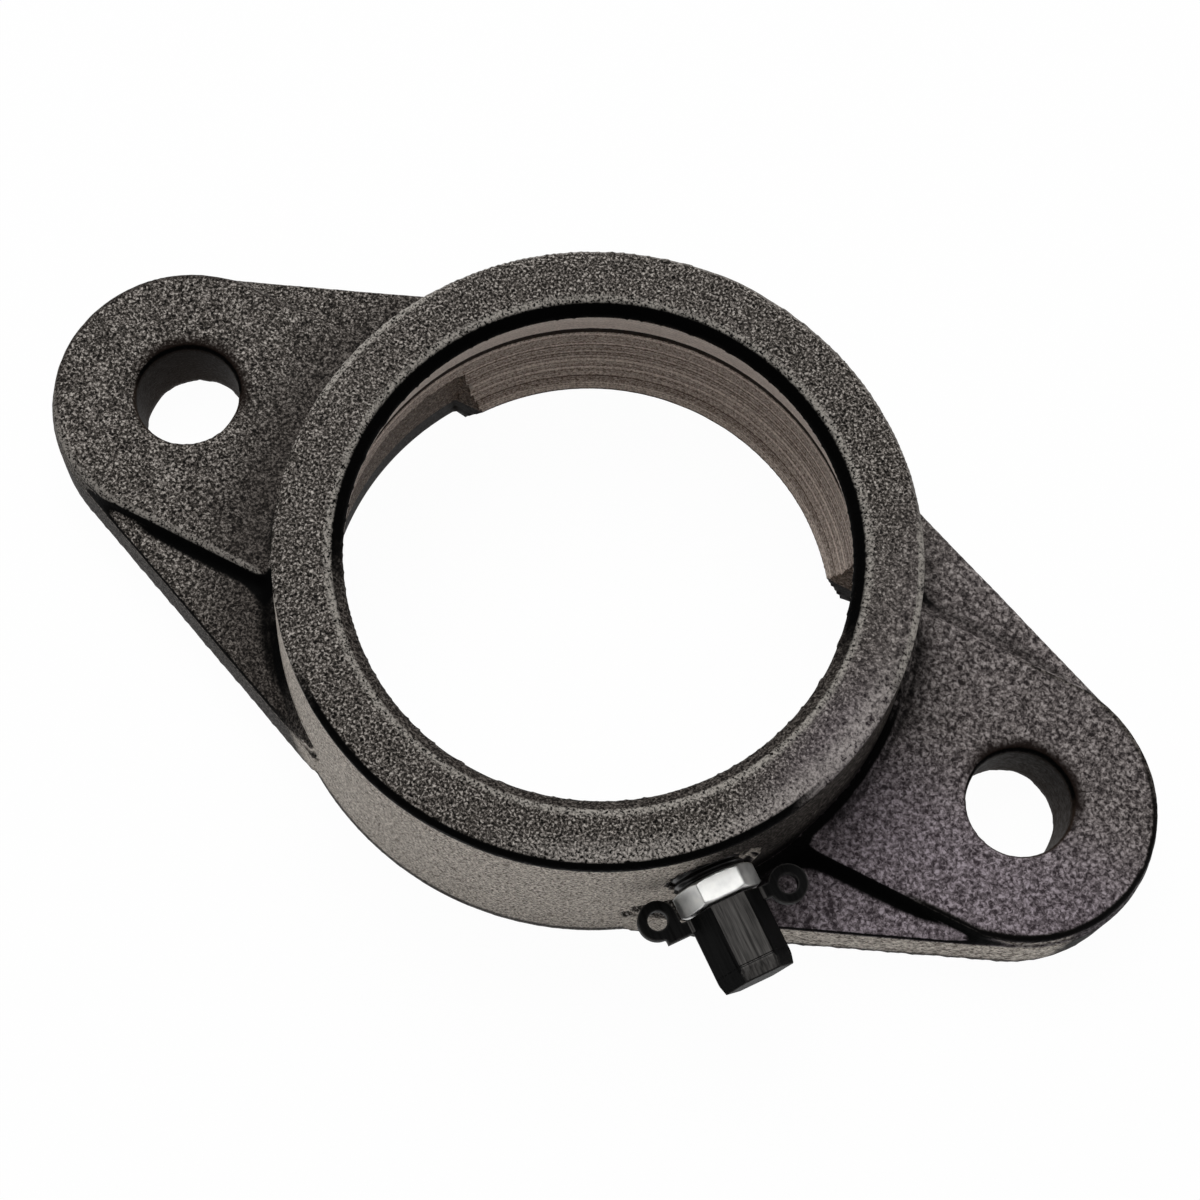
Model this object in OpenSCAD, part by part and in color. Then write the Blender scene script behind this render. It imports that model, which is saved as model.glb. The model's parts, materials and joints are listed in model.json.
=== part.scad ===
// Two-bolt flange housing for a self-aligning insert bearing, empty, with its grease nipple and dust cap.
// Millimetres. The origin lies on the bore axis in the plane of the mounting face.
// X runs through both bolt holes and Z points away from the wall that the flange is bolted to.

/* [Flange] */
// Distance between the two bolt holes
bolt_spacing = 130; // [124:1:150]
// Diameter of the bolt holes
bolt_hole_d = 14.6; // [11:0.2:17]
// Softened upper edge of the bolt holes
bolt_hole_edge = 0.8; // [0.3:0.1:1.2]
// Radius of the lug ends at the mounting face
lug_r = 20; // [18:0.5:23]
// Height of the bolt pads above the mounting face
pad_h = 12.4; // [12:0.2:15]
// Thickness of the webs beside the pads
web_h = 10.4; // [8:0.2:10.8]
// Lean of the foot's edge over the thickness of the webs, which the pads' sides share
foot_draft = 0.5; // [0.3:0.1:1.2]
// Step from the foot's edge in to the pads' sides
pad_inset = 0.4; // [0.1:0.1:0.8]
// Rounding of the pads' upper edges
pad_round = 0.8; // [0.4:0.1:1]
// Fillet where the pads' sides rise from the webs
pad_fillet = 1.1; // [0.4:0.1:1.2]
// Rounding of the webs' upper edges
web_round = 0.7; // [0.3:0.1:1.2]

/* [Ring] */
// Radius of the ring's outer wall at the mounting face
ring_foot_r = 45; // [43.5:0.5:49]
// Radius of the ring's outer wall at its top
ring_top_r = 42.5; // [41:0.5:43.5]
// Height of the ring above the mounting face
ring_h = 33; // [30:0.5:38]
// Rounding of the ring's outer top edge
ring_round = 1.2; // [0.6:0.1:2]
// Fillet where the ring rises from the pads and webs
ring_fillet = 3; // [1.5:0.5:4]

/* [Seat] */
// Outer diameter of the insert bearing that the spherical seat takes
insert_d = 72; // [71:0.2:74]
// Height of the seat's centre above the mounting face
seat_z = 17.2; // [16.4:0.1:18]
// Radius of the cored bore, before the seat is machined
waist_r = 32.4; // [31.6:0.1:32.8]
// Radius of the front mouth
front_mouth_r = 35.2; // [34.6:0.1:36]
// Height over which the core widens to the front mouth
front_flare_h = 2.8; // [2:0.1:3.6]
// Radius of the back mouth
back_mouth_r = 36.6; // [35.8:0.1:37.2]
// Height over which the core widens to the back mouth
back_flare_h = 8.1; // [7:0.1:9]
// Width of the two slots through which the insert is loaded
slot_w = 39; // [26:1:40]
// Radial room of the loading slots round the insert, at their inner end
slot_room = 0.5; // [0.2:0.1:0.8]
// Lean of the loading slots' walls towards the back
slot_draft = 1.7; // [0.4:0.1:2]
// Height of the grease groove above the seat's centre
groove_offset = 4.4; // [3.6:0.1:5]
// Width of the grease groove in the seat
groove_w = 1.6; // [1:0.2:2.4]
// Depth of the grease groove in the seat
groove_depth = 0.6; // [0.4:0.1:1]

/* [Grease nipple] */
// Direction of the nipple, from +X towards +Y
nipple_angle = -38; // [-44:1:-36]
// Sideways step of the nipple's axis from the bore axis
nipple_offset = -4.4; // [-5:0.2:-3]
// Diameter of the nipple's threaded shank
thread_d = 9.7; // [8:0.1:9.9]
// Radial clearance of the shank in its hole
thread_fit = 0.05; // [0.02:0.01:0.1]
// Length of the shank that sits in the ring
thread_depth = 5; // [4:0.2:5.6]
// Depth of the spot face that the nipple's hole starts from
spot_depth = 0.6; // [0.3:0.1:1]
// Diameter of the spot face
spot_d = 14.5; // [14:0.5:16]
// Diameter of the grease drilling that reaches the groove
grease_hole_d = 4; // [3:0.2:5]
// Length of bare shank between the spot face and the hexagon
shank_gap = 1.5; // [1:0.1:2]
// Width of the hexagon across its flats
hex_af = 10; // [10:0.2:11.4]
// Length of the hexagon
hex_l = 3.2; // [2.6:0.2:4.4]
// Chamfer on both ends of the hexagon
hex_chamfer = 0.3; // [0.2:0.1:0.6]
// Diameter of the neck behind the head
neck_d = 4.9; // [4.6:0.1:5.6]
// Largest diameter of the head
head_d = 6.5; // [6.1:0.1:7]
// Diameter of the head's tip
tip_d = 4.4; // [3.8:0.1:5]
// Length of the neck between the hexagon and the head
neck_l = 2.4; // [2:0.1:3]
// Length over which the neck widens to the head
flare_l = 1.1; // [0.8:0.1:1.5]
// Length of the head's widest part
land_l = 1; // [0.6:0.1:1.4]
// Length over which the head narrows to the tip
taper_l = 2.5; // [2:0.1:3]
// Diameter of the inlet hole in the tip
inlet_d = 1.6; // [1.2:0.1:1.7]
// Length of the inlet hole, from the tip to the ball's seat
inlet_l = 1; // [0.6:0.1:1.4]

/* [Check valve] */
// Diameter of the check ball
ball_d = 2.5; // [2.3:0.1:2.6]
// Diameter of the bore that holds ball and spring
valve_bore_d = 3.2; // [2.9:0.1:3.3]
// Diameter of the spring's wire
wire_d = 0.4; // [0.3:0.02:0.44]
// Mean diameter of the spring's coils
coil_d = 2.1; // [1.9:0.05:2.2]
// Number of turns in the spring
coil_turns = 9; // [7:1:11]
// Clearance of the ball and the spring at their seats
valve_fit = 0.03; // [0.02:0.01:0.06]
// Length of the staked end that holds the spring in
stake_l = 0.8; // [0.5:0.1:1.2]
// Diameter of the opening in the staked end
stake_hole_d = 1.8; // [1.4:0.1:2]

/* [Dust cap] */
// Width of the cap across its flats
cap_af = 9.2; // [8.8:0.1:10.4]
// Amount that rounds off each of the cap's six corners
cap_corner_trim = 0.15; // [0.05:0.05:0.3]
// Length of the cap
cap_l = 10.6; // [9.6:0.2:12]
// Length of the bevel at the cap's closed end
cap_bevel_l = 1.8; // [1:0.1:2.2]
// Lean of that bevel's flats towards the axis
cap_bevel = 0.4; // [0.2:0.1:0.8]
// Gap between the cap and the hexagon
cap_gap = 0.3; // [0.2:0.1:0.8]
// Radial clearance of the cap on the nipple's head
cap_fit = 0.1; // [0.05:0.01:0.2]
// Head room inside the cap beyond the nipple's tip
cap_room = 0.8; // [0.4:0.1:1.2]
// Outer diameter of the two pull eyelets
eyelet_d = 5.2; // [4.6:0.1:6]
// Hole in each pull eyelet
eyelet_hole_d = 2.6; // [2:0.1:3]
// Thickness of the eyelets and of the bar that joins them
eyelet_t = 1.8; // [1.2:0.1:2.4]
// Room between an eyelet and the hexagon's corner
eyelet_room = 0.35; // [0.3:0.05:0.8]
// How far the left eyelet's centre lies behind the cap's open end
left_setback = 1.6; // [1:0.1:1.8]
// How far the right eyelet's centre lies in front of the cap's open end
right_advance = 1.2; // [0.6:0.1:1.6]
// Width of the bar along the cap's axis
eyelet_bar_w = 1.8; // [1.4:0.1:2.2]

/* [Hidden] */

$fn = 96;
hull_fn = 64;
over = 1;

// Flange, worked out from the sizes above
lug_x = bolt_spacing/2;
pad_foot_r = lug_r-pad_inset;
pad_half_w = pad_foot_r-wall_lean(web_h);
foot_ring_inset = 0.4;
arc_steps = 4;

// Ring, seat and groove
seat_r = insert_d/2;
groove_z = seat_z+groove_offset;
groove_r = sqrt(pow(seat_r, 2)-pow(groove_offset, 2))+groove_depth;

// Stations along the nipple's axis, measured from its point nearest the bore axis
spot_r = sqrt(pow(ring_wall_r(groove_z), 2)-pow(nipple_offset, 2))-spot_depth;
hole_floor = spot_r-thread_depth-thread_fit;
shank_start = spot_r-thread_depth;
hex_start = spot_r+shank_gap;
hex_end = hex_start+hex_l;
flare_start = hex_end+neck_l;
land_start = flare_start+flare_l;
taper_start = land_start+land_l;
tip_end = taper_start+taper_l;

// Check valve, along the same axis
cone_end = tip_end-inlet_l;
cone_start = cone_end-(valve_bore_d-inlet_d)/2;
ball_at = cone_start+valve_bore_d/2-sqrt(2)*(ball_d/2+valve_fit);
spring_floor = shank_start+stake_l;
spring_from = spring_floor+wire_d/2+valve_fit;
spring_to = ball_at-sqrt(pow((ball_d+wire_d)/2+valve_fit, 2)-pow(coil_d/2, 2));
wire_sides = 8;
turn_steps = 14;
closed_turns = 1;
closed_pitch = wire_d+valve_fit;

// Dust cap, along the same axis
cap_start = hex_end+cap_gap;
cap_end = cap_start+cap_l;
cap_bore_r = head_d/2+cap_fit;
cap_bore_end = tip_end+cap_room;
hex_corner_r = hex_af/2/cos(30);
eyelet_inner_y = hex_corner_r+eyelet_room;
eyelet_y = eyelet_inner_y+eyelet_d/2;
eyelets = [[-1, cap_start-left_setback], [1, cap_start+right_advance]];
bar_end = cap_start+eyelet_bar_w;
cap_corner_r = cap_af/2/cos(30)-cap_corner_trim;

function ring_wall_r(z) = ring_foot_r+(ring_top_r-ring_foot_r)*z/ring_h;
function wall_lean(z) = foot_draft*z/web_h;

// Points of a rounded corner: centre, radius, first and last angle
function corner(centre, r, from, to) =
    [for (i = [0:arc_steps]) let (a = from+(to-from)*i/arc_steps) centre+r*[cos(a), sin(a)]];

// Puts what is drawn along +Z on the nipple's axis, which lies level with the groove
module on_nipple_axis() {
    translate([0, 0, groove_z])
        rotate([0, 0, nipple_angle])
            translate([0, nipple_offset, 0])
                rotate([0, 90, 0])
                    children();
}

module at_both_lugs() {
    for (side = [-1, 1])
        translate([side*lug_x, 0, 0])
            children();
}

// A round cast form with leaning sides and a rounded upper edge
module cast_round(r, h, edge) {
    top_r = r-wall_lean(h-edge);
    rotate_extrude($fn = hull_fn)
        polygon(concat([[0, 0], [r, 0]], corner([top_r-edge, h-edge], edge, 0, 90), [[0, h]]));
}

// The rhombic foot, which runs tangent from lug to ring to lug
module foot() {
    hull() {
        at_both_lugs() cast_round(lug_r, web_h, web_round);
        cast_round(ring_foot_r-foot_ring_inset, web_h, web_round);
    }
}

// The raised bar that carries both bolt pads
module pads() {
    hull() at_both_lugs() cast_round(pad_foot_r, pad_h, pad_round);
}

module ring() {
    rotate_extrude()
        polygon(concat(
            [[waist_r-over, 0], [ring_foot_r, 0]],
            corner([ring_top_r-ring_round, ring_h-ring_round], ring_round, 0, 90),
            [[waist_r-over, ring_h]]
        ));
}

// Section of a concave fillet of radius r, between a wall and the level h that it stands on
module fillet_section(wall, h, r) {
    polygon(concat(
        [[wall-over, h-over/2], [wall+r, h-over/2]],
        corner([wall+r, h+r], r, 270, 180),
        [[wall-over, h+r]]
    ));
}

module ring_fillet(h) {
    rotate_extrude()
        fillet_section(ring_wall_r(h), h, ring_fillet);
}

// The fillets along both straight sides of the pads, long enough to run out on the lugs
module pad_side_fillets() {
    run = bolt_spacing+lug_r;
    for (side = [0, 1])
        mirror([0, side, 0])
            translate([-run/2, 0, 0])
                rotate([90, 0, 90])
                    linear_extrude(run)
                        fillet_section(pad_half_w, web_h, pad_fillet);
}

module pad_fillets() {
    half_w = pad_foot_r-wall_lean(pad_h)-pad_round;
    intersection() {
        ring_fillet(pad_h);
        translate([-lug_x, -half_w, 0])
            cube([bolt_spacing, 2*half_w, ring_h]);
    }
}

module web_fillets() {
    inset = foot_draft+web_round;
    intersection() {
        union() {
            ring_fillet(web_h);
            pad_side_fillets();
        }
        linear_extrude(ring_h)
            hull() {
                at_both_lugs() circle(lug_r-inset, $fn = hull_fn);
                circle(ring_foot_r-inset, $fn = hull_fn);
            }
    }
}

// The cored bore, flared at both mouths, and the spherical seat machined in it
module bore() {
    rotate_extrude()
        polygon([
            [0, -over],
            [back_mouth_r, -over],
            [back_mouth_r, 0],
            [waist_r, back_flare_h],
            [waist_r, ring_h-front_flare_h],
            [front_mouth_r, ring_h],
            [front_mouth_r, ring_h+over],
            [0, ring_h+over]
        ]);
    translate([0, 0, seat_z])
        sphere(seat_r);
}

module grease_groove() {
    translate([0, 0, groove_z-groove_w/2])
        difference() {
            cylinder(h = groove_w, r = groove_r);
            translate([0, 0, -over])
                cylinder(h = groove_w+2*over, r = waist_r);
        }
}

// Two slots at the back, in line with the bolts, that let the insert in edge-on
module loading_slots() {
    intersection() {
        translate([0, 0, seat_z])
            mirror([0, 0, 1])
                cylinder(h = 2*seat_z, r1 = seat_r+slot_room, r2 = seat_r+slot_room+2*slot_draft);
        translate([-ring_foot_r, -slot_w/2, -over])
            cube([2*ring_foot_r, slot_w, ring_h]);
    }
}

module bolt_holes() {
    at_both_lugs() {
        translate([0, 0, -over])
            cylinder(h = pad_h+2*over, d = bolt_hole_d);
        translate([0, 0, pad_h-bolt_hole_edge])
            cylinder(h = 2*bolt_hole_edge, d1 = bolt_hole_d, d2 = bolt_hole_d+4*bolt_hole_edge);
    }
}

// The nipple's hole: a spot face, the tapped hole and a drilling through to the groove
module nipple_hole() {
    on_nipple_axis() {
        translate([0, 0, spot_r])
            cylinder(h = ring_foot_r, d = spot_d);
        translate([0, 0, hole_floor])
            cylinder(h = ring_foot_r, d = thread_d+2*thread_fit);
        translate([0, 0, waist_r])
            cylinder(h = hole_floor-waist_r+over, d = grease_hole_d);
    }
}

module housing() {
    color("dimgray")
        difference() {
            union() {
                foot();
                pads();
                ring();
                pad_fillets();
                web_fillets();
            }
            bore();
            grease_groove();
            loading_slots();
            bolt_holes();
            nipple_hole();
        }
}

module nipple_hexagon() {
    translate([0, 0, hex_start])
        intersection() {
            rotate([0, 0, 30])
                cylinder(h = hex_l, r = hex_corner_r, $fn = 6);
            rotate_extrude()
                polygon([
                    [0, 0],
                    [hex_corner_r-2*hex_chamfer, 0],
                    [hex_corner_r, hex_chamfer],
                    [hex_corner_r, hex_l-hex_chamfer],
                    [hex_corner_r-2*hex_chamfer, hex_l],
                    [0, hex_l]
                ]);
        }
}

// Shank, neck and head, turned in one piece
module nipple_turning() {
    rotate_extrude()
        polygon([
            [0, shank_start],
            [thread_d/2, shank_start],
            [thread_d/2, hex_start+hex_l/2],
            [neck_d/2, hex_start+hex_l/2],
            [neck_d/2, flare_start],
            [head_d/2, land_start],
            [head_d/2, taper_start],
            [tip_d/2, tip_end],
            [0, tip_end]
        ]);
}

// The way in for grease: inlet, conical ball seat, valve bore and staked outlet
module valve_bore() {
    rotate_extrude()
        polygon([
            [0, shank_start-over],
            [stake_hole_d/2, shank_start-over],
            [stake_hole_d/2, spring_floor],
            [valve_bore_d/2, spring_floor],
            [valve_bore_d/2, cone_start],
            [inlet_d/2, cone_end],
            [inlet_d/2, tip_end+over],
            [0, tip_end+over]
        ]);
}

module nipple_body() {
    color("lightsteelblue")
        on_nipple_axis()
            difference() {
                union() {
                    nipple_hexagon();
                    nipple_turning();
                }
                valve_bore();
            }
}

module check_ball() {
    color("silver")
        on_nipple_axis()
            translate([0, 0, ball_at])
                sphere(d = ball_d);
}

// Height of the spring's wire after t turns: one closed turn at each end, even pitch between
function spring_open_pitch() =
    (spring_to-spring_from-2*closed_turns*closed_pitch)/(coil_turns-2*closed_turns);
function spring_height(t) =
    t < closed_turns ? spring_from+t*closed_pitch
    : t > coil_turns-closed_turns ? spring_to-(coil_turns-t)*closed_pitch
    : spring_from+closed_turns*closed_pitch+(t-closed_turns)*spring_open_pitch();

module check_spring() {
    rings = coil_turns*turn_steps;
    points = [
        for (i = [0:rings], k = [0:wire_sides-1])
            let (
                turn = 360*i/turn_steps,
                side = 360*k/wire_sides,
                r = coil_d/2+wire_d/2*cos(side)
            )
            [r*cos(turn), r*sin(turn), spring_height(i/turn_steps)+wire_d/2*sin(side)]
    ];
    walls = [
        for (i = [0:rings-1], k = [0:wire_sides-1])
            let (next = (k+1)%wire_sides)
            [
                i*wire_sides+k,
                i*wire_sides+next,
                (i+1)*wire_sides+next,
                (i+1)*wire_sides+k
            ]
    ];
    ends = [
        [for (k = [wire_sides-1:-1:0]) k],
        [for (k = [0:wire_sides-1]) rings*wire_sides+k]
    ];
    color("gray")
        on_nipple_axis()
            polyhedron(points, concat(walls, ends), convexity = coil_turns);
}

// Six flats that lean in near the closed end, with the six corners rounded off
module cap_shell() {
    side_r = cap_af/2/cos(30);
    straight_l = cap_l-cap_bevel_l;
    translate([0, 0, cap_start])
        intersection() {
            rotate([0, 0, 30])
                union() {
                    cylinder(h = straight_l, r = side_r, $fn = 6);
                    translate([0, 0, straight_l])
                        cylinder(h = cap_bevel_l, r1 = side_r, r2 = side_r-cap_bevel/cos(30), $fn = 6);
                }
            cylinder(h = cap_l, r = cap_corner_r);
        }
}

// A round eyelet standing across the nipple's axis at a station
module eyelet_round(side, at, d, h) {
    translate([-h/2, side*eyelet_y, at])
        rotate([0, 90, 0])
            cylinder(h = h, d = d);
}

// A bar across the cap's open end, and on each side a neck and an eyelet to pull the cap off by
module cap_eyelets() {
    difference() {
        union() {
            translate([-eyelet_t/2, -eyelet_y, cap_start])
                cube([eyelet_t, 2*eyelet_y, eyelet_bar_w]);
            for (e = eyelets) {
                eyelet_round(e[0], e[1], eyelet_d, eyelet_t);
                translate([-eyelet_t/2, e[0] < 0 ? -eyelet_y : eyelet_inner_y, min(e[1], cap_start)])
                    cube([eyelet_t, eyelet_d/2, bar_end-min(e[1], cap_start)]);
            }
        }
        for (e = eyelets)
            eyelet_round(e[0], e[1], eyelet_hole_d, eyelet_t+2*over);
    }
}

module dust_cap() {
    color("black")
        on_nipple_axis()
            difference() {
                union() {
                    cap_shell();
                    cap_eyelets();
                }
                translate([0, 0, cap_start-over])
                    cylinder(h = cap_bore_end-cap_start+over, r = cap_bore_r);
            }
}

housing();
nipple_body();
check_ball();
check_spring();
dust_cap();
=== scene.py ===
import json
import math
import bmesh
import bpy
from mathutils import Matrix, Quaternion, Vector, noise


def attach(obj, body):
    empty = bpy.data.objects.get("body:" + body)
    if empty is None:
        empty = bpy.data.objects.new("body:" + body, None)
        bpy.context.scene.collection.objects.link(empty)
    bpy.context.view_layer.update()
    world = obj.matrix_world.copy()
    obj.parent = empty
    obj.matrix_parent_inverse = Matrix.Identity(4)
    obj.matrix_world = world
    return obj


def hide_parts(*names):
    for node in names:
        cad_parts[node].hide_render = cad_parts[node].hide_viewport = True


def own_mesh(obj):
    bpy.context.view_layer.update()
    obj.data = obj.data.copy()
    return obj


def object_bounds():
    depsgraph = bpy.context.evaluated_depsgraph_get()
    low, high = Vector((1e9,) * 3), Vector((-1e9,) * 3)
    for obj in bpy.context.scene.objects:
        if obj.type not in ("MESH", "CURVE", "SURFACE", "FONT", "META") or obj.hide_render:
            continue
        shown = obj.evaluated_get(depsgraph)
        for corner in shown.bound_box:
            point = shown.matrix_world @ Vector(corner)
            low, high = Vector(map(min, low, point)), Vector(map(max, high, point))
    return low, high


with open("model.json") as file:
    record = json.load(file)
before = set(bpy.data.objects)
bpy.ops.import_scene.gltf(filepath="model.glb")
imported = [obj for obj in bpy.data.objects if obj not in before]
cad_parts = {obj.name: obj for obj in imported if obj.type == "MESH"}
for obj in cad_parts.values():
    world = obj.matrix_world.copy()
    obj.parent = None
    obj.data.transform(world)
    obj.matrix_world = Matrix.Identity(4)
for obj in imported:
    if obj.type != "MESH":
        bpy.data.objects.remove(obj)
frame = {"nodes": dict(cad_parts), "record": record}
cad_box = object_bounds()
scene = bpy.context.scene


# Housing: one grey-iron casting from a sand mould, dipped in a thin black coat. Its foot, bolt pads and ring
# keep the mould's grain and soft edges. The spherical seat is turned bare and the underside faced flat
# afterwards, so the seat shows as a brown-grey belt below the bore's black mouth.
MM = 0.001
mounts = {mount["name"]: mount for mount in frame["record"]["mounts"]}
BOLT_X = mounts["flange_bolts"]["dims"]["spacing_x_mm"]*MM/2
BOLT_HOLE_R = mounts["flange_bolts"]["dims"]["hole_r_mm"]*MM
PAD_Z = 12.4*MM
SEAT_CENTRE = Vector(mounts["insert_seat"]["pos_m"])
SEAT_R = 36*MM
SEAT_BOTTOM = 5.2*MM
SEAT_TOP = 30.9*MM
SEAT_TOLERANCE = 0.1*MM
GROOVE_OFFSET = 4.4*MM
GROOVE_Z = SEAT_CENTRE.z+GROOVE_OFFSET
GROOVE_HALF_WIDTH = 0.8*MM
GROOVE_LOW = GROOVE_Z-GROOVE_HALF_WIDTH
GROOVE_HIGH = GROOVE_Z+GROOVE_HALF_WIDTH
GROOVE_MARGIN = 1.3*GROOVE_HALF_WIDTH
MOUTH_R = 35.2*MM
WAIST_R = 32.4*MM
BACK_R = 36.6*MM
BACK_FLARE_HEIGHT = 8.1*MM
BACK_LEAN = (BACK_R-WAIST_R)/BACK_FLARE_HEIGHT
SLOT_ROOM = 0.5*MM
SLOT_R = SEAT_R+SLOT_ROOM
SLOT_DRAFT = 1.7*MM
SLOT_LEAN = SLOT_DRAFT/SEAT_CENTRE.z
BORE_R = 39*MM
WALL_R = cad_box[1][1]
RING_TOP_R = 42.5*MM
RING_TOP_Z = cad_box[1][2]
WALL_LEAN = (WALL_R-RING_TOP_R)/RING_TOP_Z
RING_EDGE_R = 41.8*MM
RING_EDGE_Z = 31.6*MM
MERGE_REACH = 0.001*MM
CAST_VOXEL = 0.64*MM
CAST_SOFTENING = 6
ROUNDING_STEP = 0.5
REGAINING_STEP = -0.52
EDGE_ROUNDS = 8
HOLLOW_ROUNDS = 30
SNAP_REACH = 0.4*MM
SNAP_STEEPNESS = 0.8
GRAIN_SIZE = 1.3*MM
GRAIN_HEIGHT = 0.03*MM
GRAIN_FADE = 1.0
GRAIN_FINENESS = 2.0
GRAIN_LAYERS = 2
SWELL_SIZE = 14*MM
SWELL_HEIGHT = 0.09*MM


def linear(hex_colour):
    """Turns an sRGB hex colour into linear red, green, blue and alpha."""
    channels = [int(hex_colour[i:i+2], 16)/255 for i in (1, 3, 5)]
    return tuple(c/12.92 if c <= 0.04045 else ((c+0.055)/1.055)**2.4 for c in channels)+(1.0,)


def feed(owner, node, inputs):
    """Sets a node's inputs: each is a plain value, or the output that feeds it."""
    for name, value in inputs.items():
        if isinstance(value, bpy.types.NodeSocket):
            owner.node_tree.links.new(value, node.inputs[name])
        else:
            node.inputs[name].default_value = value


def add_node(owner, kind, inputs, give=0, stops=(), **settings):
    """Adds one node and gives one of its outputs; stops are the places and sRGB colours of a ramp."""
    node = owner.node_tree.nodes.new(kind)
    for name, value in settings.items():
        setattr(node, name, value)
    feed(owner, node, inputs)
    for i, (at, colour) in enumerate(stops):
        spot = node.color_ramp.elements.new(at) if i > 1 else node.color_ramp.elements[i]
        spot.position = at
        spot.color = linear(colour)
    return node.outputs[give]


def new_material(name):
    """A fresh material and its one shader."""
    material = bpy.data.materials.new(name)
    material.use_nodes = True
    return material, material.node_tree.nodes["Principled BSDF"]


def cad_copy(node):
    """A copy of a CAD node's mesh with its loose triangles merged."""
    shape = bmesh.new()
    shape.from_mesh(frame["nodes"][node].data)
    bmesh.ops.remove_doubles(shape, verts=shape.verts, dist=MERGE_REACH)
    return shape


def new_piece(name, shape):
    """Makes a smooth-shaded object at the origin out of a bmesh."""
    for face in shape.faces:
        face.smooth = True
    mesh = bpy.data.meshes.new(name)
    shape.to_mesh(mesh)
    shape.free()
    piece = bpy.data.objects.new(name, mesh)
    scene.collection.objects.link(piece)
    return piece


def smooth(shape, factor):
    """Moves every point towards the middle of its neighbours, or away from it by a negative factor."""
    bmesh.ops.smooth_vert(
        shape, verts=shape.verts, factor=factor, use_axis_x=True, use_axis_y=True, use_axis_z=True)


def softened(name, shape, voxel, rounds):
    """Rebuilds a shape on a fine even mesh and rounds its edges as a mould does, without shrinking it."""
    rough = new_piece(name+"_rough", shape)
    remesh = rough.modifiers.new("even mesh", "REMESH")
    remesh.mode = "VOXEL"
    remesh.voxel_size = voxel
    depsgraph = bpy.context.evaluated_depsgraph_get()
    even = bpy.data.meshes.new_from_object(rough.evaluated_get(depsgraph))
    bpy.data.objects.remove(rough)
    soft = bmesh.new()
    soft.from_mesh(even)
    bpy.data.meshes.remove(even)
    for _ in range(rounds):
        smooth(soft, ROUNDING_STEP)
        smooth(soft, REGAINING_STEP)
    soft.normal_update()
    return soft


def mark_relief(shape, name, rounds):
    """Stores how far each point stands out, in mm: positive on edges, negative in corners."""
    layer = shape.verts.layers.float.new(name)
    worn = shape.copy()
    for _ in range(rounds):
        smooth(worn, ROUNDING_STEP)
    for vert, flat in zip(shape.verts, worn.verts):
        vert[layer] = (vert.co-flat.co).dot(vert.normal)/MM
    worn.free()


casting = softened("housing", cad_copy("housing"), CAST_VOXEL, CAST_SOFTENING)
mark_relief(casting, "edge", EDGE_ROUNDS)
mark_relief(casting, "hollow", HOLLOW_ROUNDS)

# Turned and drafted walls go back to their true radius, the underside to its plane, and faces left as cast
# take the mould's fine grain and slow swell
for vert in casting.verts:
    height = vert.co.z
    true_r = [WALL_R-WALL_LEAN*height]
    if height < SEAT_CENTRE.z:
        true_r.append(SLOT_R+SLOT_LEAN*(SEAT_CENTRE.z-height))
    if height < SEAT_BOTTOM:
        true_r.append(BACK_R-BACK_LEAN*height)
    elif height < SEAT_TOP and abs(height-GROOVE_Z) > GROOVE_MARGIN:
        true_r.append(math.sqrt(SEAT_R**2-(height-SEAT_CENTRE.z)**2))
    from_axis = vert.co.xy.length
    nearest = min(true_r, key=lambda r: abs(r-from_axis))
    if abs(vert.normal.z) < SNAP_STEEPNESS and abs(nearest-from_axis) < SNAP_REACH:
        vert.co.xy *= nearest/from_axis
    if height < SNAP_REACH:
        vert.co.z = 0.0
    elif from_axis > BORE_R or height > SEAT_TOP:
        grain = noise.fractal(vert.co/GRAIN_SIZE, GRAIN_FADE, GRAIN_FINENESS, GRAIN_LAYERS)
        swell = noise.noise(vert.co/SWELL_SIZE)
        vert.co += vert.normal*(grain*GRAIN_HEIGHT+swell*SWELL_HEIGHT)
casting.normal_update()
housing = new_piece("housing_casting", casting)

# Sand-cast grey iron under a thin black coat: a dark skin of fine specks, more like leather on the right lug.
# Shade is painted into the colour: near black in corners, on slopes and walls that don't face the back, and
# along
# some rims. Light is painted in too: a pale warm tone on the steep wall in front, left of the nipple,
# highlights on slopes and rims that face the back, and a sheen on the ring's top. Some rims are also rubbed
# pale. Turning marks are drawn coarser than a real feed, so that they show.
FINE_GRAIN = 0.34*MM
COARSE_GRAIN = 0.46*MM
LEATHER_CELL = 1.0*MM
LATHE_PITCH = 0.5*MM
GRAIN_RELIEF = 0.1*MM
SPECKS_IN_STREAKS = 0.6
FRONT = (0.35, -1.0, 0.0)
LOW_RIGHT = (0.8, -0.6, 0.0)

iron, iron_shader = new_material("sand_cast_grey_iron")
place = add_node(iron, "ShaderNodeTexCoord", {}, "Object")
x, y, level = add_node(iron, "ShaderNodeSeparateXYZ", {"Vector": place}).node.outputs
facing = add_node(iron, "ShaderNodeNewGeometry", {}, "Normal")
to_right, to_back, upright = add_node(iron, "ShaderNodeSeparateXYZ", {"Vector": facing}).node.outputs
flatness = add_node(iron, "ShaderNodeMath", {0: upright}, operation="ABSOLUTE")
to_front = add_node(iron, "ShaderNodeVectorMath", {0: facing, 1: FRONT}, "Value", operation="DOT_PRODUCT")
on_plan = add_node(iron, "ShaderNodeCombineXYZ", {"X": x, "Y": y})
radius = add_node(iron, "ShaderNodeVectorMath", {0: on_plan}, "Value", operation="LENGTH")
seat_arm = add_node(iron, "ShaderNodeVectorMath", {0: place, 1: SEAT_CENTRE}, "Value", operation="DISTANCE")
on_sphere = add_node(iron, "ShaderNodeMath", {
    0: seat_arm, 1: SEAT_R, 2: SEAT_TOLERANCE}, operation="COMPARE")
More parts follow.
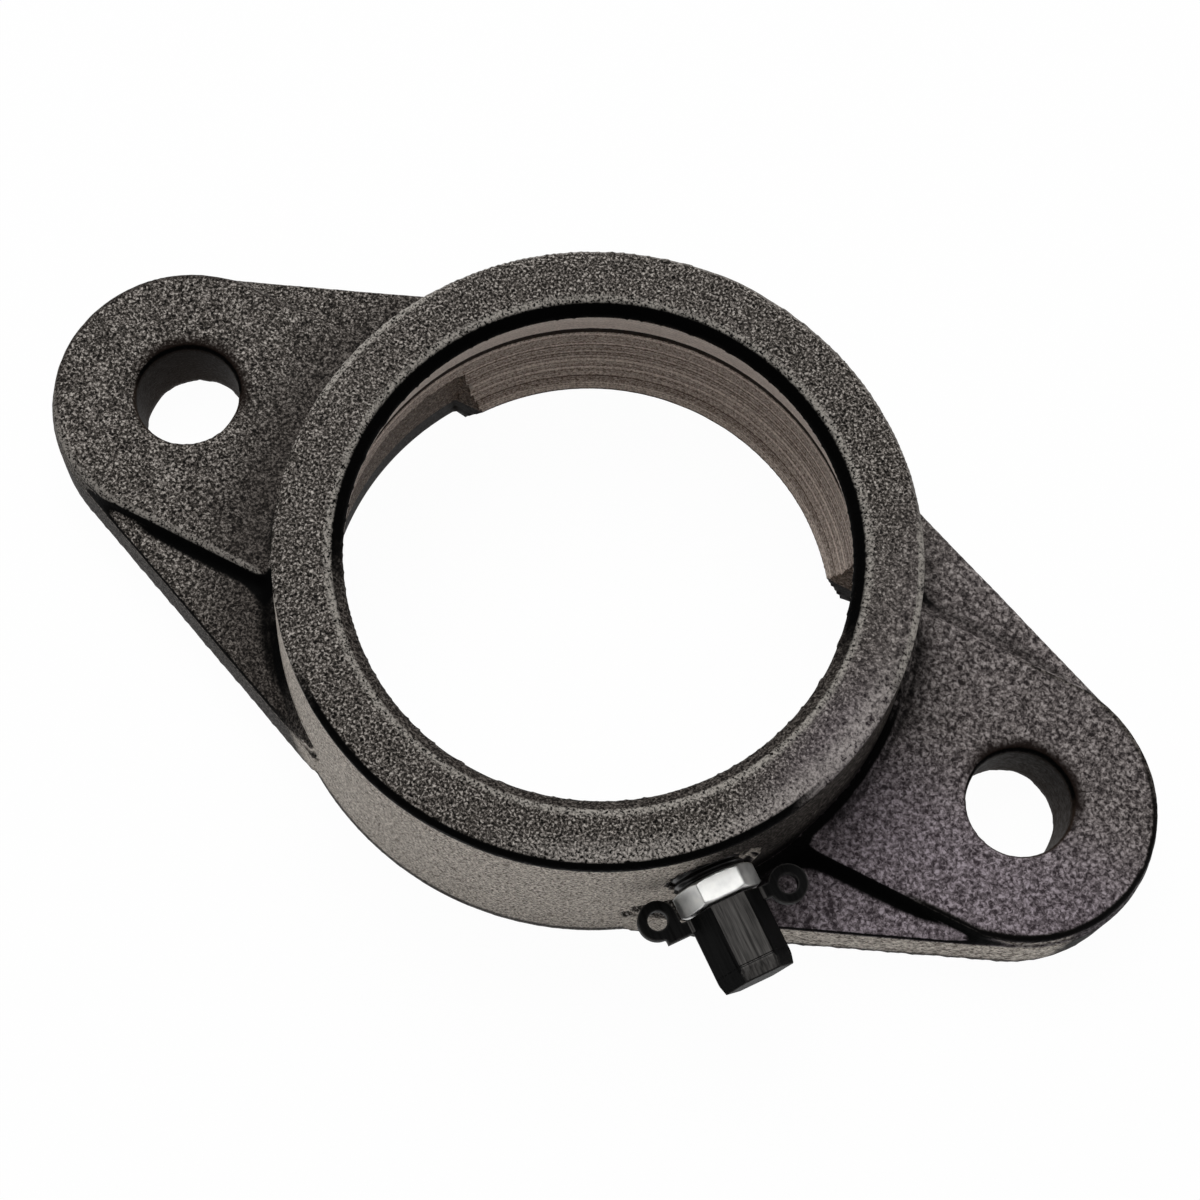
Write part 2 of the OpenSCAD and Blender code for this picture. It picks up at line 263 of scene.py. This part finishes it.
low_right = add_node(iron, "ShaderNodeVectorMath", {0: place, 1: LOW_RIGHT}, "Value", operation="DOT_PRODUCT")
from_middle = add_node(iron, "ShaderNodeMath", {0: x}, operation="ABSOLUTE")
from_lug = add_node(iron, "ShaderNodeMath", {0: from_middle, 1: BOLT_X}, operation="SUBTRACT")
lug_plan = add_node(iron, "ShaderNodeCombineXYZ", {"X": from_lug, "Y": y})
bolt_radius = add_node(iron, "ShaderNodeVectorMath", {0: lug_plan}, "Value", operation="LENGTH")
edge = add_node(iron, "ShaderNodeAttribute", {}, "Fac", attribute_name="edge")
hollow = add_node(iron, "ShaderNodeAttribute", {}, "Fac", attribute_name="hollow")
fine = add_node(iron, "ShaderNodeTexNoise", {
    "Vector": place, "Scale": 1/FINE_GRAIN, "Detail": 1.2, "Roughness": 0.6, "Distortion": 0.6})
coarse = add_node(iron, "ShaderNodeTexNoise", {
    "Vector": place, "Scale": 1/COARSE_GRAIN, "Detail": 1.6, "Roughness": 0.6, "Distortion": 0.6})
cells = add_node(iron, "ShaderNodeTexVoronoi", {"Vector": place, "Scale": 1/LEATHER_CELL}, "Distance")
ripple = add_node(iron, "ShaderNodeMapRange", {
    "Value": cells, "From Min": 0.2, "From Max": 0.9, "To Min": 0.1, "To Max": -0.1})
leather = add_node(iron, "ShaderNodeMath", {0: coarse, 1: ripple}, operation="ADD")
turned_place = add_node(iron, "ShaderNodeCombineXYZ", {"X": radius, "Z": level})
turning = add_node(iron, "ShaderNodeTexNoise", {
    "Vector": turned_place, "Scale": 1/LATHE_PITCH, "Detail": 2.0, "Roughness": 0.6})

# Soft steps, each 0 at its first value and 1 at its second
share = {"on sphere": on_sphere, "half": 0.5}
for name, (value, low, high) in {
    "right lug": (x, 28*MM, 48*MM),
    "off right lug": (x, 30*MM, 10*MM),
    "off right end": (x, 40*MM, 37*MM),
    "left half": (x, -16*MM, -24*MM),
    "off left end": (x, -30*MM, -22*MM),
    "near half": (y, 6*MM, -12*MM),
    "far half": (y, -2*MM, 4*MM),
    "off web tips": (from_middle, 26*MM, 33*MM),
    "ring ends": (from_middle, 35*MM, 37.5*MM),
    "lug ends": (from_middle, 54*MM, 60*MM),
    "steep": (flatness, 0.35, 0.15),
    "underside": (upright, -0.9, -0.98),
    "sloping": (upright, 0.82, 0.68),
    "leaning": (upright, 0.2, 0.4),
    "facing front": (to_front, 0.0, 0.25),
    "not facing back": (to_front, -0.25, 0.0),
    "turned back": (to_front, -0.1, -0.3),
    "facing back": (to_back, 0.1, 0.5),
    "left of nipple": (to_right, 0.74, 0.62),
    "edge": (edge, 0.07, 0.14),
    "crest": (edge, 0.11, 0.18),
    "corner": (hollow, -0.2, -0.32),
    "dip": (hollow, -0.04, -0.2),
    "outside": (radius, BORE_R, BORE_R+0.5*MM),
    "inside": (radius, BORE_R+0.5*MM, BORE_R),
    "within mouth": (radius, MOUTH_R+0.25*MM, MOUTH_R-0.05*MM),
    "within lip": (radius, MOUTH_R+1.2*MM, MOUTH_R+0.6*MM),
    "outer top": (radius, MOUTH_R+2.5*MM, RING_EDGE_R-0.5*MM),
    "ring edge": (radius, RING_EDGE_R-0.3*MM, RING_EDGE_R),
    "beyond ring": (radius, WALL_R+0.4*MM, WALL_R+1.2*MM),
    "by ring": (radius, WALL_R+15*MM, WALL_R+3*MM),
    "low right": (low_right, 26*MM, 38*MM),
    "in hole": (bolt_radius, BOLT_HOLE_R+0.5*MM, BOLT_HOLE_R+0.1*MM),
    "by hole": (bolt_radius, BOLT_HOLE_R+2.6*MM, BOLT_HOLE_R+0.4*MM),
    "off hole": (bolt_radius, BOLT_HOLE_R+1.6*MM, BOLT_HOLE_R+2.4*MM),
    "foot line": (level, 2.4*MM, 1.2*MM),
    "under back": (level, SEAT_BOTTOM+0.3*MM, SEAT_BOTTOM-0.3*MM),
    "above back": (level, SEAT_BOTTOM-0.2*MM, SEAT_BOTTOM+0.2*MM),
    "pad edge": (level, PAD_Z-1.0*MM, PAD_Z-0.6*MM),
    "below ring": (level, PAD_Z+1.0*MM, PAD_Z+0.5*MM),
    "wall height": (level, PAD_Z+0.5*MM, PAD_Z+1.5*MM),
    "upper wall": (level, PAD_Z+2*MM, PAD_Z+10*MM),
    "above groove": (level, GROOVE_LOW-0.15*MM, GROOVE_LOW+0.1*MM),
    "under groove": (level, GROOVE_HIGH+0.15*MM, GROOVE_HIGH-0.1*MM),
    "strip": (level, GROOVE_HIGH, GROOVE_HIGH+0.4*MM),
    "below rim": (level, RING_EDGE_Z-6*MM, RING_EDGE_Z-10*MM),
    "below mouth": (level, SEAT_TOP+0.15*MM, SEAT_TOP-0.15*MM),
    "above seat": (level, SEAT_TOP-0.15*MM, SEAT_TOP+0.15*MM),
    "ring top": (level, RING_EDGE_Z-0.3*MM, RING_EDGE_Z),
    "lip height": (level, RING_TOP_Z-0.8*MM, RING_TOP_Z-0.5*MM),
}.items():
    share[name] = add_node(iron, "ShaderNodeMapRange", {
        "Value": value, "From Min": low, "From Max": high}, interpolation_type="SMOOTHSTEP")
specks = add_node(iron, "ShaderNodeMix", {"Factor": share["right lug"], "A": fine, "B": leather})
share["speck"] = add_node(iron, "ShaderNodeMapRange", {"Value": specks, "From Min": 0.36, "From Max": 0.58})

# Places on the casting, each where all of its steps hold
for name, steps in {
    "near lug": ("right lug", "near half"),
    "painted sheen": ("outer top", "low right", "lip height", "speck", "half"),
    "left web shade": ("by ring", "outside", "below ring", "left half"),
    "far slope highlight": ("sloping", "leaning", "facing back", "outside", "wall height", "half"),
    "front wall shade": ("steep", "outside", "not facing back"),
    "high wall shade": ("steep", "outside", "not facing back", "upper wall"),
    "lit front wall": ("steep", "outside", "facing front", "left of nipple"),
    "left foot": ("steep", "outside", "beyond ring", "left half", "not facing back"),
    "foot contact shade": ("steep", "outside", "facing front", "foot line"),
    "left corner shade": ("dip", "steep", "outside", "left half", "not facing back"),
    "bore": ("inside", "below mouth"),
    "seat": ("on sphere", "inside", "below mouth", "above back"),
    "upper seat highlight": ("on sphere", "inside", "below mouth", "strip", "half"),
    "back flare": ("inside", "under back"),
    "groove": ("above groove", "under groove", "inside"),
    "hole rim shade": ("by hole", "far half"),
    "far corner shade": ("dip", "outside", "far half", "below ring", "off hole", "right lug", "half"),
    "front slope shade": ("sloping", "leaning", "facing front", "outside", "off web tips", "below rim"),
    "ring rim shade": ("ring edge", "ring top", "facing front", "off right end", "off left end"),
    "hollow shade": ("corner", "outside", "not facing back", "off web tips"),
    "mouth": ("within mouth", "above seat"),
    "lit near mouth": ("within mouth", "above seat", "turned back"),
    "lug rim shade": ("crest", "pad edge", "below ring", "off hole", "lug ends"),
    "right rim shade": ("lug rim shade", "right lug", "not facing back"),
    "worn pad highlight": ("edge", "pad edge", "below ring", "off hole", "facing front", "off right lug", "speck"),
    "far rim wear and highlight": ("ring edge", "ring top", "ring ends", "far half", "speck"),
    "worn lip": ("edge", "within lip", "lip height", "speck"),
}.items():
    share[name] = share[steps[0]]
    for step in steps[1:]:
        share[name] = add_node(iron, "ShaderNodeMath", {
            0: share[name], 1: share[step]}, operation="MULTIPLY")

# Finishes with a grain of their own, each a run of colours over its specks or its turning marks
streaks = add_node(iron, "ShaderNodeMath", {
    0: specks, 1: SPECKS_IN_STREAKS, 2: turning}, operation="MULTIPLY_ADD")
finishes = {}
for name, (grain, stops) in {
    "skin": (specks, ((0.34, "#0b0a09"), (0.5, "#423e3a"), (0.6, "#7b7570"), (0.72, "#bdb7b0"))),
    "lug skin": (specks, ((0.34, "#282424"), (0.5, "#5a5453"), (0.6, "#7e7775"), (0.72, "#a09997"))),
    "purple skin": (specks, ((0.34, "#383135"), (0.5, "#675f63"), (0.6, "#877d83"), (0.72, "#a69ca3"))),
    "dull skin": (specks, ((0.34, "#12100f"), (0.5, "#35312e"), (0.72, "#6e6863"))),
    # painted light: a pale warm tone for the lit wall in front
    "lit wall skin": (specks, ((0.34, "#655d55"), (0.5, "#c0b7ad"), (0.68, "#f2eae0"))),
    "bare core": (specks, ((0.34, "#30271f"), (0.5, "#574a40"), (0.68, "#8a7b6e"))),
    "bare face": (streaks, ((0.65, "#4a4744"), (0.8, "#6d6966"), (0.98, "#908c88"))),
    "bare seat": (streaks, ((0.65, "#635750"), (0.8, "#b3a59b"), (0.98, "#f0e4da"))),
}.items():
    finishes[name] = add_node(iron, "ShaderNodeValToRGB", {"Fac": grain}, stops=stops)

# Layers of finish or plain colour, each over the ones before it
colour = finishes["skin"]
for layer, where in (
    ("lug skin", "right lug"),
    ("purple skin", "near lug"),
    # painted highlight: a pale sheen on the outer part of the ring's top, towards the lower right
    ("#b9b3ad", "painted sheen"),
    # painted shade: the left web darkens towards the foot of the ring
    ("dull skin", "left web shade"),
    # painted highlight: slopes that face the back are painted lighter
    ("#8d8883", "far slope highlight"),
    # painted shade: steep outer walls that don't face the back are painted near black
    ("#070606", "front wall shade"),
    # painted shade, lighter: the upper part of those walls is dark grey rather than near black
    ("dull skin", "high wall shade"),
    # painted light: the steep wall in front, left of the nipple, is painted a pale warm lit tone
    ("lit wall skin", "lit front wall"),
    ("dull skin", "left foot"),
    # painted shade: a dark band along the foot of walls that face the front
    ("dull skin", "foot contact shade"),
    # painted shade: near black in the hollows of the left walls
    ("#070606", "left corner shade"),
    ("bare core", "bore"),
    ("bare seat", "seat"),
    # painted highlight: the seat above the groove is painted half way to a pale tone
    ("#f2e8e0", "upper seat highlight"),
    ("#100c0a", "back flare"),
    ("#2c2520", "groove"),
    # painted shade: darker round the far side of each bolt hole
    ("#1a1310", "hole rim shade"),
    ("#2a211b", "in hole"),
    # painted shade: darker in the hollows on the far side of the right lug
    ("#1a1716", "far corner shade"),
    # painted shade: slopes that face the front are painted near black
    ("#030303", "front slope shade"),
    # painted shade: near black along the ring's top outer edge where it faces the front
    ("#030303", "ring rim shade"),
    # painted shade: near black in hollows that don't face the back
    ("#030303", "hollow shade"),
    # black coat, painted darker still as the shade under the lip: the bore's mouth is near black
    ("#020202", "mouth"),
    # painted light: mouth walls that face the back keep a lit speckled grey instead of near black
    ("dull skin", "lit near mouth"),
    ("bare face", "underside"),
    # painted shade: the rounded rims of the bolt pads are darkened
    ("dull skin", "lug rim shade"),
    # painted shade: near black along the right lug's pad rims that don't face the back
    ("#0c0b0b", "right rim shade"),
    # rubbed wear and painted highlight: pale specks along the front edges of the left pads
    ("#8f8a84", "worn pad highlight"),
    # rubbed wear and painted highlight: pale specks along the far side of the ring's top edge
    ("#a29d96", "far rim wear and highlight"),
    ("#a29d96", "worn lip"),
):
    upper = finishes[layer] if layer in finishes else linear(layer)
    colour = add_node(iron, "ShaderNodeMix", {
        6: colour, 7: upper, "Factor": share[where]}, 2, data_type="RGBA")
gloss = add_node(iron, "ShaderNodeMapRange", {
    "Value": specks, "From Min": 0.3, "From Max": 0.7, "To Min": 0.7, "To Max": 0.5})
grain_relief = add_node(iron, "ShaderNodeBump", {
    "Height": specks, "Distance": GRAIN_RELIEF, "Strength": 0.8})
feed(iron, iron_shader, {
    "Base Color": colour, "Roughness": gloss, "Specular IOR Level": 0.03, "Normal": grain_relief})
housing.data.materials.append(iron)
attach(housing, "block")
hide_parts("housing")


# Grease nipple: a straight nipple of free-cutting steel, turned and cut from hexagon bar and plated with
# bright zinc. It is screwed into the ring's wall, and the turns of thread left bare under the hexagon are
# painted near black as the shade under the hexagon.
TIP = Vector(mounts["grease_gun_head"]["pos_m"])
OUT = Vector(mounts["grease_gun_head"]["axis"])
NIPPLE_VOXEL = 0.11*MM
NIPPLE_SOFTENING = 1
SHANK_R = 4.85*MM
SHANK_TOLERANCE = 0.2*MM
SHANK_START = 38.1*MM
SHANK_END = 43.9*MM
THREAD_PITCH = 1.0*MM
THREAD_DEPTH = 0.35*MM
THREAD_SHADE_EDGE = 0.15*MM
CLOUD_SIZE = 1.6*MM
BRUSH_LENGTH = 3*MM
BRUSH_WIDTH = 0.12*MM
BRUSH_DEPTH = 0.012*MM

nipple_shape = softened("nipple", cad_copy("nipple_body"), NIPPLE_VOXEL, NIPPLE_SOFTENING)

# The bare thread is one helical groove in the shank
across = OUT.cross(Vector((0, 0, 1)))
for vert in nipple_shape.verts:
    arm = vert.co-TIP
    spoke = arm-OUT*arm.dot(OUT)
    station = vert.co.dot(OUT)
    if SHANK_START < station < SHANK_END and abs(spoke.length-SHANK_R) < SHANK_TOLERANCE:
        turn = math.atan2(spoke.z, spoke.dot(across))
        wave = 0.5-0.5*math.cos(math.tau*station/THREAD_PITCH-turn)
        vert.co -= spoke.normalized()*THREAD_DEPTH*wave
nipple_shape.normal_update()
nipple = new_piece("grease_nipple", nipple_shape)

# Bright zinc plate on turned steel: a cool white metal with faint brush lines and a soft, uneven gloss.
zinc, zinc_shader = new_material("bright_zinc_plated_steel")
place = add_node(zinc, "ShaderNodeTexCoord", {}, "Object")
along = add_node(zinc, "ShaderNodeVectorMath", {0: place, 1: OUT}, "Value", operation="DOT_PRODUCT")
thread_shade = add_node(zinc, "ShaderNodeMapRange", {
    "Value": along, "From Min": SHANK_END+THREAD_SHADE_EDGE, "From Max": SHANK_END})
cloud = add_node(zinc, "ShaderNodeTexNoise", {"Vector": place, "Scale": 1/CLOUD_SIZE, "Detail": 4.0})
brush_place = add_node(zinc, "ShaderNodeMapping", {
    "Vector": place, "Scale": (1/BRUSH_LENGTH, 1/BRUSH_LENGTH, 1/BRUSH_WIDTH)})
brush = add_node(zinc, "ShaderNodeTexNoise", {"Vector": brush_place, "Scale": 1.0, "Detail": 2.0})
plate = add_node(zinc, "ShaderNodeValToRGB", {"Fac": cloud}, stops=(
    (0.3, "#cfcfcd"), (0.55, "#e4e4e1"), (0.75, "#efeeea")))
# painted shade: the bare thread under the hexagon is painted near black and not metallic
plate = add_node(zinc, "ShaderNodeMix", {
    6: plate, 7: linear("#0b0a09"), "Factor": thread_shade}, 2, data_type="RGBA")
metal_share = add_node(zinc, "ShaderNodeMapRange", {"Value": thread_shade, "To Min": 0.7, "To Max": 0.0})
gloss = add_node(zinc, "ShaderNodeMapRange", {
    "Value": cloud, "From Min": 0.3, "From Max": 0.7, "To Min": 0.3, "To Max": 0.45})
brushed = add_node(zinc, "ShaderNodeBump", {"Height": brush, "Distance": BRUSH_DEPTH, "Strength": 0.5})
feed(zinc, zinc_shader, {
    "Base Color": plate, "Metallic": metal_share, "Roughness": gloss, "Normal": brushed})
nipple.data.materials.append(zinc)
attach(nipple, "block")
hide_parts("nipple_body")


# Check valve: a hardened steel ball that a small coil of drawn spring wire holds against the nipple's inlet.
# Both sit hidden inside the nipple. In the valve, the coil shortens from its ball end as the ball lifts, and
# its other end stays where it is; here the coil is copied from its CAD shape as it is.
HAZE_SIZE = 0.5*MM
DIE_LINE = 0.15*MM
DIE_DEPTH = 0.01*MM

# Polished bearing steel: a bright mirror with a faint haze of grease.
ball_steel, ball_shader = new_material("polished_bearing_steel")
place = add_node(ball_steel, "ShaderNodeTexCoord", {}, "Object")
haze = add_node(ball_steel, "ShaderNodeTexNoise", {"Vector": place, "Scale": 1/HAZE_SIZE, "Detail": 3.0})
mirror = add_node(ball_steel, "ShaderNodeValToRGB", {"Fac": haze}, stops=(
    (0.3, "#b9bbbe"), (0.7, "#d4d5d6")))
gloss = add_node(ball_steel, "ShaderNodeMapRange", {"Value": haze, "To Min": 0.06, "To Max": 0.2})
feed(ball_steel, ball_shader, {"Base Color": mirror, "Metallic": 1.0, "Roughness": gloss})

# Drawn spring wire: a darker grey steel with fine marks of the drawing die and a thin film of grease.
spring_steel, spring_shader = new_material("drawn_spring_wire")
place = add_node(spring_steel, "ShaderNodeTexCoord", {}, "Object")
die_lines = add_node(spring_steel, "ShaderNodeTexNoise", {
    "Vector": place, "Scale": 1/DIE_LINE, "Detail": 2.0})
wire = add_node(spring_steel, "ShaderNodeValToRGB", {"Fac": die_lines}, stops=(
    (0.3, "#5d5f62"), (0.7, "#8b8d8f")))
wire_relief = add_node(spring_steel, "ShaderNodeBump", {
    "Height": die_lines, "Distance": DIE_DEPTH, "Strength": 0.5})
feed(spring_steel, spring_shader, {
    "Base Color": wire, "Metallic": 1.0, "Roughness": 0.32, "Normal": wire_relief})

frame["nodes"]["check_ball"].data.materials.clear()
frame["nodes"]["check_ball"].data.materials.append(ball_steel)
spring = new_piece("check_spring_coil", cad_copy("check_spring"))
spring.data.materials.append(spring_steel)
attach(spring, "block")
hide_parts("check_spring")
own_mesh(spring)


# Dust cap: a six-sided cap of black polyethylene, moulded in one shot with two small pull eyelets at its rim.
# It pushes over the nipple's head and is pulled off by hand before greasing.
CAP_END = 58.14*MM
END_LINE = 2.1*MM
END_LINE_HALF_WIDTH = 0.16*MM
END_LINE_DEPTH = 0.1*MM
END_LINE_UPRIGHT = 0.5
CAP_HALF_WIDTH = 5.4*MM
CAP_VOXEL = 0.11*MM
CAP_SOFTENING = 1
DRAW_LENGTH = 6*MM
DRAW_WIDTH = 0.35*MM
DRAW_DEPTH = 0.03*MM
AXIS_STEP = OUT.x*TIP.y-OUT.y*TIP.x

cap_shape = softened("cap", cad_copy("dust_cap"), CAP_VOXEL, CAP_SOFTENING)
mark_relief(cap_shape, "edge", EDGE_ROUNDS)

# A shallow line crosses the cap's upper side near its end
for vert in cap_shape.verts:
    off_line = abs(vert.co.dot(OUT)-(CAP_END-END_LINE))/END_LINE_HALF_WIDTH
    if off_line < 1 and vert.normal.z > END_LINE_UPRIGHT:
        vert.co -= vert.normal*END_LINE_DEPTH*(1-off_line)
cap_shape.normal_update()
cap = new_piece("dust_cap_moulding", cap_shape)

# Black polyethylene: a waxy black with a low satin gloss, draw marks from the mould along its sides, slightly
# paler edges and an upper flat painted paler as a reflection.
plastic, plastic_shader = new_material("black_polyethylene")
place = add_node(plastic, "ShaderNodeTexCoord", {}, "Object")
turned = add_node(plastic, "ShaderNodeMapping", {
    "Vector": place, "Rotation": (0.0, 0.0, -math.atan2(OUT.y, OUT.x))})
draw_place = add_node(plastic, "ShaderNodeMapping", {
    "Vector": turned, "Scale": (1/DRAW_LENGTH, 1/DRAW_WIDTH, 1/DRAW_WIDTH)})
draw_marks = add_node(plastic, "ShaderNodeTexNoise", {
    "Vector": draw_place, "Scale": 1.0, "Detail": 3.0, "Roughness": 0.6})
waxy = add_node(plastic, "ShaderNodeValToRGB", {"Fac": draw_marks}, stops=(
    (0.35, "#070707"), (0.68, "#171717")))
# painted reflection: a paler grey for the cap's upper flat
reflection_tone = add_node(plastic, "ShaderNodeValToRGB", {"Fac": draw_marks}, stops=(
    (0.35, "#2f2e2d"), (0.68, "#5c5a58")))
facing = add_node(plastic, "ShaderNodeNewGeometry", {}, "Normal")
upright = add_node(plastic, "ShaderNodeSeparateXYZ", {"Vector": facing}, "Z")
sideways = add_node(plastic, "ShaderNodeSeparateXYZ", {"Vector": turned}, "Y")
on_barrel = add_node(plastic, "ShaderNodeMath", {
    0: sideways, 1: AXIS_STEP, 2: CAP_HALF_WIDTH}, operation="COMPARE")
reflecting_flat = add_node(plastic, "ShaderNodeMapRange", {
    "Value": upright, "From Min": 0.95, "From Max": 0.985})
reflecting_flat = add_node(plastic, "ShaderNodeMath", {0: reflecting_flat, 1: on_barrel}, operation="MULTIPLY")
waxy = add_node(plastic, "ShaderNodeMix", {6: waxy, 7: reflection_tone, "Factor": reflecting_flat}, 2, data_type="RGBA")
cap_edge = add_node(plastic, "ShaderNodeAttribute", {}, "Fac", attribute_name="edge")
pale = add_node(plastic, "ShaderNodeMapRange", {
    "Value": cap_edge, "From Min": 0.015, "From Max": 0.06, "To Max": 0.3})
waxy = add_node(plastic, "ShaderNodeMix", {
    6: waxy, 7: linear("#6b6967"), "Factor": pale}, 2, data_type="RGBA")
satin = add_node(plastic, "ShaderNodeMapRange", {
    "Value": draw_marks, "From Min": 0.3, "From Max": 0.7, "To Min": 0.38, "To Max": 0.55})
mould_relief = add_node(plastic, "ShaderNodeBump", {
    "Height": draw_marks, "Distance": DRAW_DEPTH, "Strength": 0.6})
feed(plastic, plastic_shader, {
    "Base Color": waxy,
    "Roughness": satin,
    "IOR": 1.51,
    "Specular IOR Level": 0.02,
    "Normal": mould_relief,
})
cap.data.materials.append(plastic)
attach(cap, "cap")
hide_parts("dust_cap")


# Floor, light and camera: a white studio sweep under one large soft light, seen from where the photograph was
# taken. The room is pale near the floor and overhead, and dim in front, so faces that lean to the front stay
# dark. The floor lies a hair below the foot, so that no two faces share a plane.
FLOOR_REACH = 3.0
FLOOR_GAP = 0.05*MM
GLOW_SHARE = 0.975
floor_mesh = bmesh.new()
bmesh.ops.create_grid(floor_mesh, x_segments=1, y_segments=1, size=FLOOR_REACH)
bmesh.ops.translate(floor_mesh, verts=floor_mesh.verts, vec=(0, 0, -FLOOR_GAP))
floor = new_piece("floor", floor_mesh)

# White paper that takes the part's shadow, and glows white where the camera or a reflection sees it
white = bpy.data.materials.new("white_sweep")
white.use_nodes = True
seen = 0.0
for ray in ("Is Camera Ray", "Is Glossy Ray", "Is Transmission Ray"):
    ray_seen = add_node(white, "ShaderNodeLightPath", {}, ray)
    seen = add_node(white, "ShaderNodeMath", {0: ray_seen, 1: seen}, operation="MAXIMUM")
glow_share = add_node(white, "ShaderNodeMath", {0: seen, 1: GLOW_SHARE}, operation="MULTIPLY")
paper = add_node(white, "ShaderNodeBsdfDiffuse", {"Color": linear("#f2f2f2")})
glow = add_node(white, "ShaderNodeEmission", {"Color": linear("#ffffff"), "Strength": 1.0})
sweep = add_node(white, "ShaderNodeMixShader", {0: glow_share, 1: paper, 2: glow})
feed(white, white.node_tree.nodes["Material Output"], {"Surface": sweep})
floor.data.materials.append(white)

# The room's light: white at the level of the floor, grey above it, and dimmer in front than behind
studio = bpy.data.worlds.new("studio")
scene.world = studio
studio.use_nodes = True
toward = add_node(studio, "ShaderNodeTexCoord", {}, "Generated")
_, room_back, room_top = add_node(studio, "ShaderNodeSeparateXYZ", {"Vector": toward}).node.outputs
rise = add_node(studio, "ShaderNodeValToRGB", {"Fac": room_top}, stops=(
    (0.1, "#ffffff"), (0.22, "#6a6a6a"), (0.6, "#7a7a7a"), (0.95, "#c8c8c8")))
behind = add_node(studio, "ShaderNodeMapRange", {
    "Value": room_back, "From Min": -0.6, "From Max": 0.4, "To Min": 0.35, "To Max": 1.0})
above = add_node(studio, "ShaderNodeMapRange", {"Value": room_top, "From Min": 0.1, "From Max": 0.22})
room_light = add_node(studio, "ShaderNodeMix", {"Factor": above, "A": 1.0, "B": behind})
feed(studio, studio.node_tree.nodes["Background"], {"Color": rise, "Strength": room_light})

# One soft light overhead, aimed at the same spot as the camera
AIM = Vector((1.5, -1.5, 15.8))*MM
SOFTBOX_PLACE = Vector((-250, 300, 750))*MM
SOFTBOX_POWER = 5.0
SOFTBOX_SIZE = 500*MM
softbox_data = bpy.data.lights.new("overhead_softbox", "AREA")
softbox_data.energy = SOFTBOX_POWER
softbox_data.size = SOFTBOX_SIZE
softbox = bpy.data.objects.new("overhead_softbox", softbox_data)
softbox.location = SOFTBOX_PLACE
softbox.rotation_euler = (AIM-SOFTBOX_PLACE).to_track_quat("-Z", "Y").to_euler()
scene.collection.objects.link(softbox)

# The camera stands high in front and a little to the right, with a slight roll
CAMERA_DISTANCE = 294*MM
CAMERA_AZIMUTH = math.radians(-19.83)
CAMERA_ELEVATION = math.radians(72.375)
CAMERA_ROLL = math.radians(7.13)
CAMERA_LENS = 64.18
CAMERA_SENSOR = 36
CAMERA_NEAR = 10*MM
view_axis = Vector((
    math.sin(CAMERA_AZIMUTH)*math.cos(CAMERA_ELEVATION),
    math.cos(CAMERA_AZIMUTH)*math.cos(CAMERA_ELEVATION),
    -math.sin(CAMERA_ELEVATION),
))
camera_data = bpy.data.cameras.new("camera")
camera_data.sensor_width = CAMERA_SENSOR
camera_data.lens = CAMERA_LENS
camera_data.clip_start = CAMERA_NEAR
camera = bpy.data.objects.new("camera", camera_data)
camera.location = AIM-view_axis*CAMERA_DISTANCE
camera.rotation_mode = "QUATERNION"
camera.rotation_quaternion = view_axis.to_track_quat("-Z", "Y") @ Quaternion((0, 0, 1), CAMERA_ROLL)
scene.collection.objects.link(camera)
scene.camera = camera
scene.view_settings.view_transform = "Standard"
